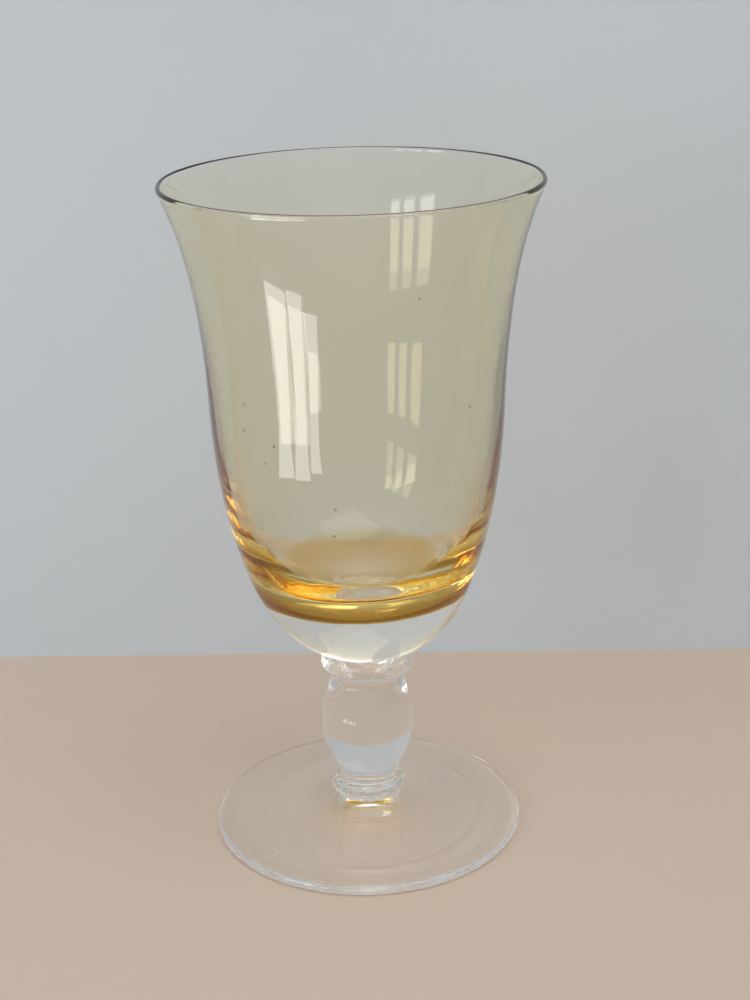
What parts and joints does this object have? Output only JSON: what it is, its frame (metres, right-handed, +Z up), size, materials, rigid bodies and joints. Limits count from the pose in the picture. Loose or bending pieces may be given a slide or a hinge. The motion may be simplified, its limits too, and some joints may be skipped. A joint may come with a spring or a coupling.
{
  "type": "water goblet",
  "caption": "Bell-shaped drinking goblet: amber-lined clear glass bowl with a thick base, on a short knopped stem and a round foot.",
  "frame": {"origin": "centre of the foot's underside, on the surface that the goblet stands on", "axes": "+Z up along the goblet's axis, from the foot to the rim; X and Y level, with no preferred direction because the goblet is a body of revolution"},
  "size_m": [0.097, 0.097, 0.18],
  "materials": {
    "foot_glass": "clear fire-polished glass",
    "stem_glass": "clear fire-polished glass",
    "casing_glass": "clear fire-polished glass",
    "amber_glass": "transparent amber glass, fire-polished"
  },
  "bodies": {
    "root": {"foot_disc": "foot_glass", "foot_button": "stem_glass", "stem_knop": "stem_glass", "collar": "stem_glass", "bowl_casing": "casing_glass", "amber_lining": "amber_glass"}
  },
  "joints": []
}
